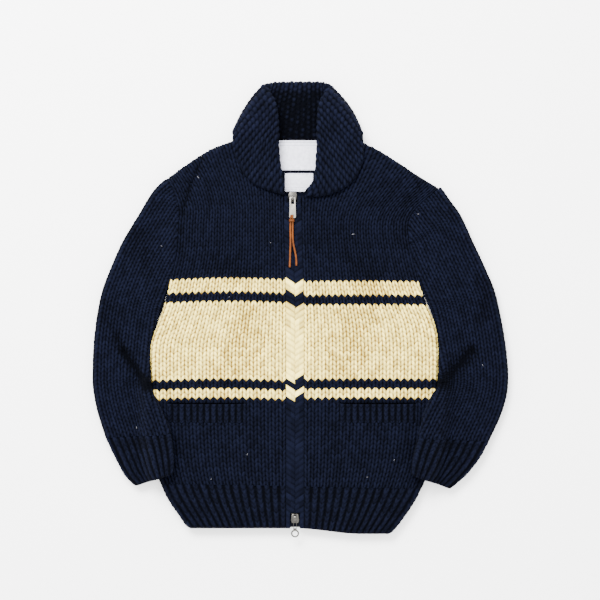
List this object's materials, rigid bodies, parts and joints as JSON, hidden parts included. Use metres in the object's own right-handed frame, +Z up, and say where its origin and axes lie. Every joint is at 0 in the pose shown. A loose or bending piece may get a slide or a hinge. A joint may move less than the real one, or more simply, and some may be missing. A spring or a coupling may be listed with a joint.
{
  "type": "cowichan cardigan",
  "caption": "Chunky knitted zip cardigan with shawl collar, broad stripes, welt pockets and ribbed hem and cuffs, lying flat on its back.",
  "frame": {"origin": "middle of the object's bounding box in plan, on the surface it lies on", "axes": "+Z up from the surface, through the back panel and then the fronts; +Y from the hem to the collar; +X to the right as seen from above"},
  "size_m": [0.7286, 0.7955, 0.0449],
  "materials": {
    "wool_navy": "chunky hand-knit wool, matt, slightly hairy",
    "wool_striped": "chunky hand-knit wool, navy with cream stripes",
    "lining": "plain knitted pocket bag",
    "zip_tape": "woven tape",
    "zip_metal": "polished nickel, lightly rubbed",
    "zip_teeth": "nickel teeth",
    "lace_leather": "oiled brown leather lace",
    "label": null
  },
  "bodies": {
    "root": {"back": "wool_navy", "hem_back": "wool_navy", "front_left": "wool_striped", "front_right": "wool_striped", "hem_left": "wool_navy", "hem_right": "wool_navy", "sleeve_left": "wool_navy", "sleeve_right": "wool_navy", "cuff_left": "wool_navy", "cuff_right": "wool_navy", "collar": "wool_navy", "band_left": "wool_striped", "band_right": "wool_striped", "pocket_welt_left": "wool_navy", "pocket_welt_right": "wool_navy", "pocket_bag_left": "lining", "pocket_bag_right": "lining", "zip_tape_left": "zip_tape", "zip_tape_right": "zip_tape", "zip_chain": "zip_teeth", "slider_top": "zip_metal", "slider_bottom": "zip_metal", "label_large": "label", "label_small": "label"},
    "pull_top": {"pull_top": "zip_metal", "lace_knot": "lace_leather", "lace_left": "lace_leather", "lace_right": "lace_leather"},
    "pull_bottom": {"pull_bottom": "zip_metal"}
  },
  "joints": [
    {"name": "upper_pull_swing", "type": "hinge", "parent": "root", "child": "pull_top", "pos_m": [-0.0134, 0.1955, 0.0242], "axis": [-1, 0, 0], "range_deg": [0, 150]},
    {"name": "lower_pull_swing", "type": "hinge", "parent": "root", "child": "pull_bottom", "pos_m": [-0.0092, -0.362, 0.0242], "axis": [-1, 0, 0], "range_deg": [0, 150]}
  ]
}
